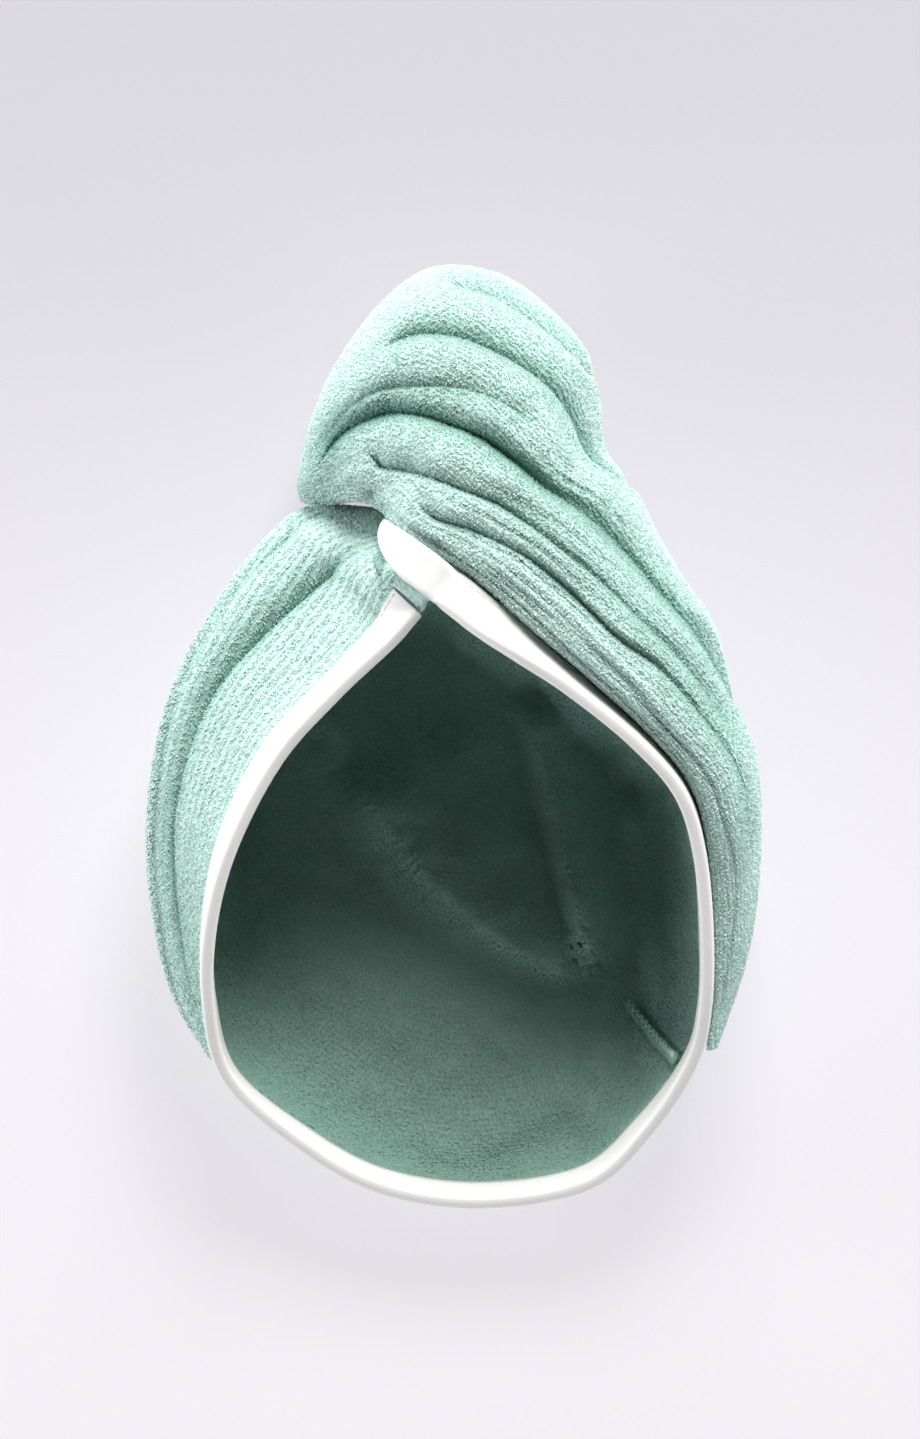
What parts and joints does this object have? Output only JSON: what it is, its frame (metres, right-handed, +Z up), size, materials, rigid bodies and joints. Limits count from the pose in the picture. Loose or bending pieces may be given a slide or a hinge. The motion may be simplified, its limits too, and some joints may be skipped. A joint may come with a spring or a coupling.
{
  "type": "hair turban towel",
  "caption": "Terry hair turban towel with a twisted front wrap, a coiled bun and a satin tape round the opening, lying on its back.",
  "frame": {"origin": "on the surface the towel lies on, under the middle of its outline", "axes": "+Z up off the surface, out of the opening for the head; +Y from the nape towards the twisted bun; +X across, towards the side where the wrap runs down"},
  "size_m": [0.2204, 0.342, 0.1206],
  "materials": {
    "mint_terry": "short cut terry, matt with a soft nap",
    "mint_terry_inside": "terry seam allowance, matt",
    "white_satin": "woven satin tape with a soft sheen"
  },
  "bodies": {
    "root": {"hood": "mint_terry", "wrap": "mint_terry", "binding": "white_satin", "inner_seam": "mint_terry_inside"}
  },
  "joints": []
}
